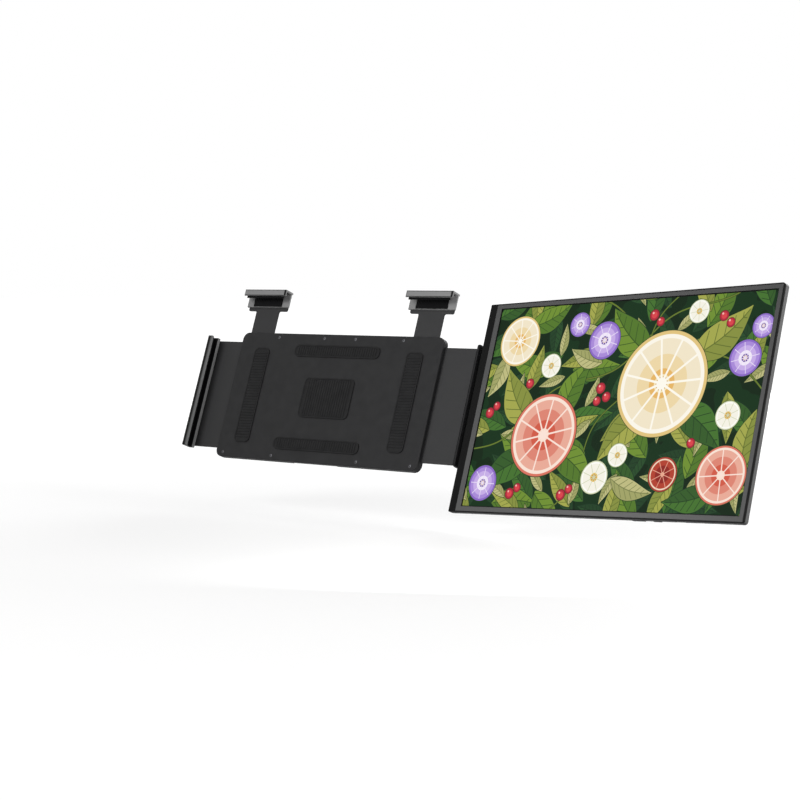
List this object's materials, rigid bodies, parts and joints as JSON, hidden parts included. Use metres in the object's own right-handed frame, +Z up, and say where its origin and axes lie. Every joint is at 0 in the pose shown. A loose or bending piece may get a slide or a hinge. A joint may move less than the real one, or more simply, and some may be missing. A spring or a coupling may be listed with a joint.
{
  "type": "clip-on portable monitor",
  "caption": "Slim screen on a side hinge, carried by a flat clamp bracket with geared side jaws, sliding top hooks and a fold-out stand.",
  "frame": {"origin": "middle of the grip plane, where the bracket's pads meet the back of the screen that it is clamped to", "axes": "+X to the viewer's right along the bracket's slides, +Z up, +Y away from the viewer; the whole part leans back by 20.2 degrees about X as it hangs in use"},
  "size_m": [0.7466, 0.1558, 0.2356],
  "materials": {
    "bracket_plastic": "fine moulded texture",
    "jaw_plastic": "fine moulded texture",
    "coated_steel": "satin black coating",
    "plain_steel": "plain",
    "hinge_metal": "satin dark coating",
    "acetal": "smooth",
    "felt": "pressed felt",
    "silicone": "matt silicone",
    "rubber_black": "matt rubber",
    "black_screw": "black oxide",
    "bezel_plastic": "fine matt texture",
    "spine_plastic": "satin",
    "shell_metal": "satin dark grey",
    "foam": "foam tape",
    "screen_glass": "polariser film on glass",
    "white_film": "diffuser film",
    "acrylic": "clear acrylic sheet",
    "flex_circuit": "polyimide film",
    "circuit_board": "solder mask",
    "chip_black": "moulded epoxy",
    "plated_socket": "nickel plating",
    "key_plastic": "satin"
  },
  "bodies": {
    "bracket": {"bracket_front": "bracket_plastic", "bracket_rear": "bracket_plastic", "grip_pads": "silicone", "slide_rails": "acetal", "pinion_axle": "plain_steel", "friction_pads": "felt", "bracket_screws": "black_screw", "stand_pin": "plain_steel"},
    "pinion": {"drive_pinion": "acetal"},
    "left_arm": {"left_arm_plate": "coated_steel", "left_rack": "plain_steel", "left_rack_rivets": "plain_steel", "left_jaw": "jaw_plastic", "left_jaw_liner": "silicone", "left_jaw_screws": "black_screw"},
    "right_arm": {"right_arm_plate": "coated_steel", "right_rack": "plain_steel", "right_rack_rivets": "plain_steel", "right_jaw": "hinge_metal", "right_jaw_liner": "silicone", "right_jaw_screws": "black_screw", "hinge_pins": "plain_steel", "hinge_washers": "plain_steel"},
    "monitor": {"front_frame": "bezel_plastic", "spine_cover": "spine_plastic", "panel_gasket": "foam", "lcd_panel": "screen_glass", "optical_films": "white_film", "light_guide": "acrylic", "led_strip": "flex_circuit", "panel_tray": "plain_steel", "rear_shell": "shell_metal", "driver_board": "circuit_board", "board_components": "chip_black", "board_screws": "plain_steel", "usb_c_ports": "plated_socket", "mini_hdmi_port": "plated_socket", "button_switches": "chip_black", "panel_ribbon": "flex_circuit", "speakers": "chip_black", "hinge_ear_upper": "hinge_metal", "hinge_ear_lower": "hinge_metal", "hinge_screws": "black_screw", "rear_bumpers": "rubber_black"},
    "power_key": {"power_button": "key_plastic"},
    "rocker_key": {"menu_rocker": "key_plastic"},
    "top_arm_left": {"top_arm_plate_left": "coated_steel", "top_hook_left": "jaw_plastic", "top_liner_left": "silicone", "top_screws_left": "black_screw"},
    "top_arm_right": {"top_arm_plate_right": "coated_steel", "top_hook_right": "jaw_plastic", "top_liner_right": "silicone", "top_screws_right": "black_screw"},
    "stand": {"stand_leg": "coated_steel", "stand_foot": "rubber_black"}
  },
  "joints": [
    {"name": "right_arm_slide", "type": "slide", "parent": "bracket", "child": "right_arm", "axis": [1, 0, 0], "range_m": [-0.037, 0.018]},
    {"name": "left_arm_slide", "type": "slide", "parent": "bracket", "child": "left_arm", "axis": [-1, 0, 0], "range_m": [-0.037, 0.018]},
    {"name": "pinion_spin", "type": "hinge", "parent": "bracket", "child": "pinion", "pos_m": [0, 0.00338, -0.00124], "axis": [0, -0.9385, 0.3453], "range_deg": [-266, 130]},
    {"name": "monitor_swing", "type": "hinge", "parent": "right_arm", "child": "monitor", "pos_m": [0.1958, 0.00751, -0.00276], "axis": [0, -0.3453, -0.9385], "range_deg": [-191, 20]},
    {"name": "top_arm_left_slide", "type": "slide", "parent": "bracket", "child": "top_arm_left", "axis": [0, 0.3453, 0.9385], "range_m": [-0.025, 0.022]},
    {"name": "top_arm_right_slide", "type": "slide", "parent": "bracket", "child": "top_arm_right", "axis": [0, 0.3453, 0.9385], "range_m": [-0.025, 0.022]},
    {"name": "stand_fold", "type": "hinge", "parent": "bracket", "child": "stand", "pos_m": [0, -0.01544, -0.06731], "axis": [-1, 0, 0], "range_deg": [0, 130]},
    {"name": "power_press", "type": "slide", "parent": "monitor", "child": "power_key", "axis": [0, 0.3453, 0.9385], "range_m": [0, 0.0006], "stiffness_N_per_m": 400},
    {"name": "rocker_tilt", "type": "hinge", "parent": "monitor", "child": "rocker_key", "pos_m": [0.43983, -0.08247, -0.08878], "axis": [0.1915, 0.9211, -0.3389], "range_deg": [-2.5, 2.5], "stiffness_Nm_per_rad": 0.05}
  ],
  "couplings": [
    {"joint": "left_arm_slide", "follows": "right_arm_slide", "ratio": 1},
    {"joint": "pinion_spin", "follows": "right_arm_slide", "rad_per_m": 125}
  ]
}
